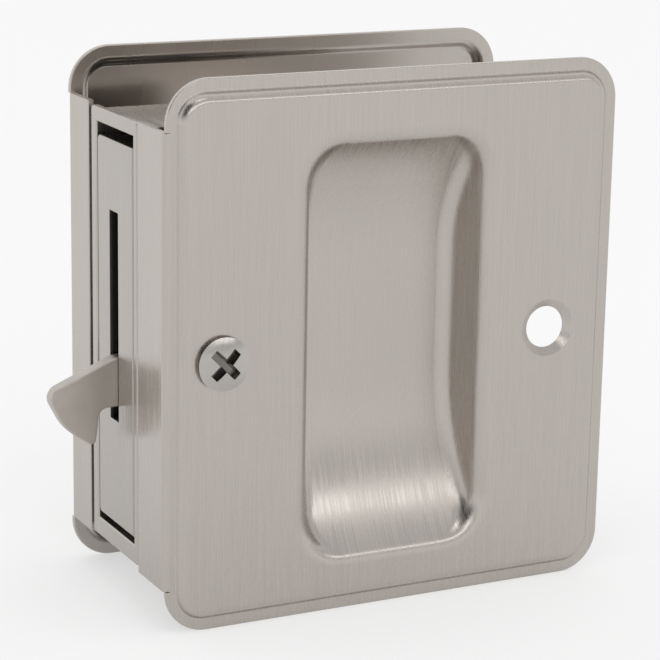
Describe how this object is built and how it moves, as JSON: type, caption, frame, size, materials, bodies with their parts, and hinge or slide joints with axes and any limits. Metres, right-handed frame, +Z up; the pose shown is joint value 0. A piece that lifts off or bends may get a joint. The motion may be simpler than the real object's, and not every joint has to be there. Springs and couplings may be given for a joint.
{
  "type": "pocket door lock",
  "caption": "Lock for a sliding pocket door: plates with recessed finger pulls straddle the door edge, and a thumb lever swings a hook bolt out of the edge.",
  "frame": {"origin": "middle of the bounding box on the surface that the plates' lower edges stand on", "axes": "+X across the plates from the hook's side to the far side, +Y through the door from front to rear, +Z up"},
  "size_m": [0.0855, 0.0434, 0.0825],
  "materials": {
    "plate_nickel": "satin nickel plate, brushed lengthwise",
    "frame_nickel": "satin nickel plate on a casting",
    "case_steel": "satin plated sheet steel",
    "hook_steel": "tumbled satin plated steel",
    "screw_nickel": "bright nickel plate",
    "pin_steel": "turned or punched bare steel",
    "turn_cast": "satin nickel plate on a casting",
    "bush_brass": "turned brass",
    "spring_steel": "blued spring steel",
    "washer_nylon": "natural nylon"
  },
  "bodies": {
    "lock_body": {"front_plate": "plate_nickel", "rear_plate": "plate_nickel", "edge_frame": "frame_nickel", "plate_screws": "screw_nickel", "lock_case": "case_steel", "case_cover": "case_steel", "case_pillars": "pin_steel", "case_screws": "screw_nickel", "hook_pivot": "pin_steel", "hook_spacers": "bush_brass", "hub_bushes": "bush_brass", "leaf_spring": "spring_steel", "spring_posts": "pin_steel", "stop_pins": "pin_steel", "lever_washer": "washer_nylon"},
    "thumb_turn": {"turn_hub": "turn_cast", "thumb_lever": "turn_cast", "lever_screw": "screw_nickel", "hub_clip": "spring_steel", "hub_link_pin": "pin_steel"},
    "hook": {"hook_bolt": "hook_steel", "hook_link_pin": "pin_steel"},
    "link": {"drive_link": "pin_steel"}
  },
  "joints": [
    {"name": "lever_turn", "type": "hinge", "parent": "lock_body", "child": "thumb_turn", "pos_m": [0.00475, 0, 0.03925], "axis": [0, 1, 0], "range_deg": [0, 80], "deforming": ["leaf_spring"]},
    {"name": "hook_swing", "type": "hinge", "parent": "lock_body", "child": "hook", "pos_m": [-0.01625, 0, 0.0344], "axis": [0, 1, 0], "range_deg": [0, 80]},
    {"name": "link_swing", "type": "hinge", "parent": "thumb_turn", "child": "link", "pos_m": [0.01274, 0, 0.03323], "axis": [0, 1, 0], "range_deg": [-80, 0]}
  ],
  "couplings": [
    {"joint": "hook_swing", "follows": "lever_turn", "ratio": 1},
    {"joint": "link_swing", "follows": "lever_turn", "ratio": -1}
  ]
}
